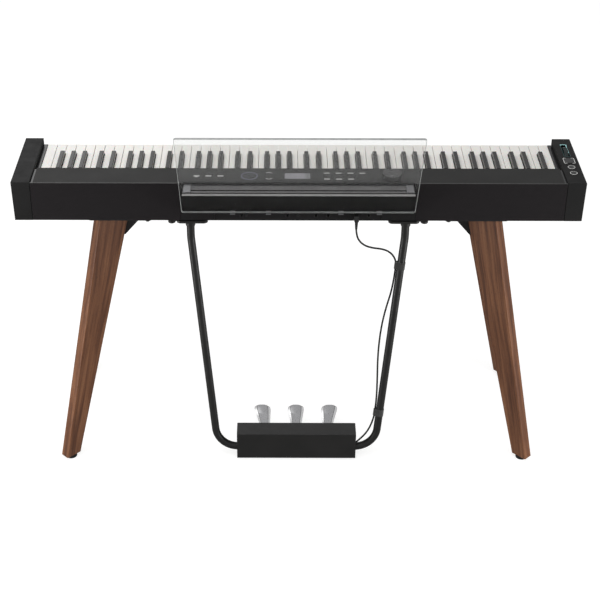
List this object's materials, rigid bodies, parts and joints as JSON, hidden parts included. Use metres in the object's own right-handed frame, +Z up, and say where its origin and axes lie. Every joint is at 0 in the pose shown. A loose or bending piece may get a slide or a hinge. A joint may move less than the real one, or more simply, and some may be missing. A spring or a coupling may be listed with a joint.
{
  "type": "digital piano on stand",
  "caption": "Slim full-size digital piano on four splayed walnut legs, with a clear music rest, rear cloth grilles and a hanging pedal unit.",
  "frame": {"origin": "on the floor, under the middle of the whole object's box", "axes": "+X from the bass end to the treble end, the player on the -Y side, +Z up"},
  "size_m": [1.34, 0.5077, 0.9343],
  "materials": {
    "case": "fine moulded texture",
    "end_block": "satin, fine texture",
    "panel_gloss": "polished",
    "display_glass": "polished clear cover over a pale display",
    "speaker_cloth": "fine woven grille cloth",
    "socket": "satin",
    "bracket_metal": "satin",
    "clear_acrylic": "polished clear sheet",
    "speaker": "paper cone in a moulded frame",
    "board": "solder mask",
    "chassis_steel": "zinc plated",
    "knob": "satin",
    "wheel": "satin",
    "button": "satin",
    "white_key": "ivory feel, slightly textured",
    "black_key": "ebony feel, slightly textured",
    "walnut": "satin oiled walnut",
    "leg_glide": "matt",
    "black_metal": "satin powder coat",
    "bolt": "satin",
    "pedal_metal": "polished",
    "cable_jacket": "matt jacket",
    "plug_moulding": "moulded",
    "strap": "woven hook-and-loop strap"
  },
  "bodies": {
    "case": {"bottom_case": "case", "top_frame": "case", "cheek_blocks": "case", "rear_panel": "case", "jack_panel": "case", "rest_holder": "case", "end_block_bass": "end_block", "end_block_treble": "end_block", "control_panel": "panel_gloss", "display_window": "display_glass", "speaker_fabric_bass": "speaker_cloth", "speaker_fabric_treble": "speaker_cloth", "jack_sockets": "socket", "rest_brackets": "bracket_metal", "speaker_drivers": "speaker", "main_board": "board", "key_chassis": "chassis_steel", "pedal_shaft": "chassis_steel", "wheel_axle": "chassis_steel", "leg_front_bass": "walnut", "leg_front_treble": "walnut", "leg_rear_bass": "walnut", "leg_rear_treble": "walnut", "leg_glides": "leg_glide", "leg_brackets": "black_metal", "pedal_tube_bass": "black_metal", "pedal_tube_treble": "black_metal", "tube_brackets": "black_metal", "pedal_case": "black_metal", "pedal_base": "black_metal", "leg_bolts": "bolt", "thumb_bolts": "bolt", "pedal_cable": "cable_jacket", "cable_plug": "plug_moulding", "cable_straps": "strap"},
    "key_c4": {"key_c4": "white_key"},
    "key_cs4": {"key_cs4": "black_key"},
    "key_d4": {"key_d4": "white_key"},
    "key_ds4": {"key_ds4": "black_key"},
    "key_e4": {"key_e4": "white_key"},
    "key_f4": {"key_f4": "white_key"},
    "key_fs4": {"key_fs4": "black_key"},
    "key_g4": {"key_g4": "white_key"},
    "key_gs4": {"key_gs4": "black_key"},
    "key_a4": {"key_a4": "white_key"},
    "key_as4": {"key_as4": "black_key"},
    "key_b4": {"key_b4": "white_key"},
    "white_keys_bass": {"white_keys_bass": "white_key"},
    "white_keys_treble": {"white_keys_treble": "white_key"},
    "black_keys_bass": {"black_keys_bass": "black_key"},
    "black_keys_treble": {"black_keys_treble": "black_key"},
    "pedal_left": {"pedal_left": "pedal_metal"},
    "pedal_middle": {"pedal_middle": "pedal_metal"},
    "pedal_right": {"pedal_right": "pedal_metal"},
    "volume_knob": {"volume_knob": "knob"},
    "pitch_wheel": {"pitch_wheel": "wheel"},
    "square_button": {"square_button": "button"},
    "round_button_front": {"round_button_front": "button"},
    "round_button_rear": {"round_button_rear": "button"},
    "music_rest": {"music_rest": "clear_acrylic"}
  },
  "joints": [
    {"name": "key_c4_press", "type": "hinge", "parent": "case", "child": "key_c4", "pos_m": [0, 0.05348, 0.703], "axis": [1, 0, 0], "range_deg": [0, 2.6], "stiffness_Nm_per_rad": 4, "springref_deg": -2.86},
    {"name": "key_cs4_press", "type": "hinge", "parent": "case", "child": "key_cs4", "pos_m": [0, 0.05348, 0.703], "axis": [1, 0, 0], "range_deg": [0, 2.6], "stiffness_Nm_per_rad": 4, "springref_deg": -2.86},
    {"name": "key_d4_press", "type": "hinge", "parent": "case", "child": "key_d4", "pos_m": [0, 0.05348, 0.703], "axis": [1, 0, 0], "range_deg": [0, 2.6], "stiffness_Nm_per_rad": 4, "springref_deg": -2.86},
    {"name": "key_ds4_press", "type": "hinge", "parent": "case", "child": "key_ds4", "pos_m": [0, 0.05348, 0.703], "axis": [1, 0, 0], "range_deg": [0, 2.6], "stiffness_Nm_per_rad": 4, "springref_deg": -2.86},
    {"name": "key_e4_press", "type": "hinge", "parent": "case", "child": "key_e4", "pos_m": [0, 0.05348, 0.703], "axis": [1, 0, 0], "range_deg": [0, 2.6], "stiffness_Nm_per_rad": 4, "springref_deg": -2.86},
    {"name": "key_f4_press", "type": "hinge", "parent": "case", "child": "key_f4", "pos_m": [0, 0.05348, 0.703], "axis": [1, 0, 0], "range_deg": [0, 2.6], "stiffness_Nm_per_rad": 4, "springref_deg": -2.86},
    {"name": "key_fs4_press", "type": "hinge", "parent": "case", "child": "key_fs4", "pos_m": [0, 0.05348, 0.703], "axis": [1, 0, 0], "range_deg": [0, 2.6], "stiffness_Nm_per_rad": 4, "springref_deg": -2.86},
    {"name": "key_g4_press", "type": "hinge", "parent": "case", "child": "key_g4", "pos_m": [0, 0.05348, 0.703], "axis": [1, 0, 0], "range_deg": [0, 2.6], "stiffness_Nm_per_rad": 4, "springref_deg": -2.86},
    {"name": "key_gs4_press", "type": "hinge", "parent": "case", "child": "key_gs4", "pos_m": [0, 0.05348, 0.703], "axis": [1, 0, 0], "range_deg": [0, 2.6], "stiffness_Nm_per_rad": 4, "springref_deg": -2.86},
    {"name": "key_a4_press", "type": "hinge", "parent": "case", "child": "key_a4", "pos_m": [0, 0.05348, 0.703], "axis": [1, 0, 0], "range_deg": [0, 2.6], "stiffness_Nm_per_rad": 4, "springref_deg": -2.86},
    {"name": "key_as4_press", "type": "hinge", "parent": "case", "child": "key_as4", "pos_m": [0, 0.05348, 0.703], "axis": [1, 0, 0], "range_deg": [0, 2.6], "stiffness_Nm_per_rad": 4, "springref_deg": -2.86},
    {"name": "key_b4_press", "type": "hinge", "parent": "case", "child": "key_b4", "pos_m": [0, 0.05348, 0.703], "axis": [1, 0, 0], "range_deg": [0, 2.6], "stiffness_Nm_per_rad": 4, "springref_deg": -2.86},
    {"name": "white_keys_bass_press", "type": "hinge", "parent": "case", "child": "white_keys_bass", "pos_m": [0, 0.05348, 0.703], "axis": [1, 0, 0], "range_deg": [0, 2.6], "stiffness_Nm_per_rad": 92, "springref_deg": -2.86},
    {"name": "white_keys_treble_press", "type": "hinge", "parent": "case", "child": "white_keys_treble", "pos_m": [0, 0.05348, 0.703], "axis": [1, 0, 0], "range_deg": [0, 2.6], "stiffness_Nm_per_rad": 88, "springref_deg": -2.86},
    {"name": "black_keys_bass_press", "type": "hinge", "parent": "case", "child": "black_keys_bass", "pos_m": [0, 0.05348, 0.703], "axis": [1, 0, 0], "range_deg": [0, 2.6], "stiffness_Nm_per_rad": 64, "springref_deg": -2.86},
    {"name": "black_keys_treble_press", "type": "hinge", "parent": "case", "child": "black_keys_treble", "pos_m": [0, 0.05348, 0.703], "axis": [1, 0, 0], "range_deg": [0, 2.6], "stiffness_Nm_per_rad": 60, "springref_deg": -2.86},
    {"name": "pedal_left_press", "type": "hinge", "parent": "case", "child": "pedal_left", "pos_m": [0, 0.14948, 0.046], "axis": [1, 0, 0], "range_deg": [0, 5.5], "stiffness_Nm_per_rad": 10, "springref_deg": -3.44},
    {"name": "pedal_middle_press", "type": "hinge", "parent": "case", "child": "pedal_middle", "pos_m": [0, 0.14948, 0.046], "axis": [1, 0, 0], "range_deg": [0, 5.5], "stiffness_Nm_per_rad": 10, "springref_deg": -3.44},
    {"name": "pedal_right_press", "type": "hinge", "parent": "case", "child": "pedal_right", "pos_m": [0, 0.14948, 0.046], "axis": [1, 0, 0], "range_deg": [0, 5.5], "stiffness_Nm_per_rad": 10, "springref_deg": -3.44},
    {"name": "volume_turn", "type": "hinge", "parent": "case", "child": "volume_knob", "pos_m": [-0.219, 0.05048, 0.7385], "axis": [0, 0, -1], "range_deg": [-150, 150]},
    {"name": "pitch_bend", "type": "hinge", "parent": "case", "child": "pitch_wheel", "pos_m": [-0.648, -0.09152, 0.713], "axis": [1, 0, 0], "range_deg": [-35, 35], "stiffness_Nm_per_rad": 0.08},
    {"name": "square_button_press", "type": "slide", "parent": "case", "child": "square_button", "axis": [0, 0, -1], "range_m": [0, 0.001], "stiffness_N_per_m": 600, "springref_m": -0.0015},
    {"name": "round_button_front_press", "type": "slide", "parent": "case", "child": "round_button_front", "axis": [0, 0, -1], "range_m": [0, 0.001], "stiffness_N_per_m": 600, "springref_m": -0.0015},
    {"name": "round_button_rear_press", "type": "slide", "parent": "case", "child": "round_button_rear", "axis": [0, 0, -1], "range_m": [0, 0.001], "stiffness_N_per_m": 600, "springref_m": -0.0015},
    {"name": "music_rest_lift", "type": "slide", "parent": "case", "child": "music_rest", "axis": [0, 0.5165, 0.8563], "range_m": [0, 0.09]}
  ]
}
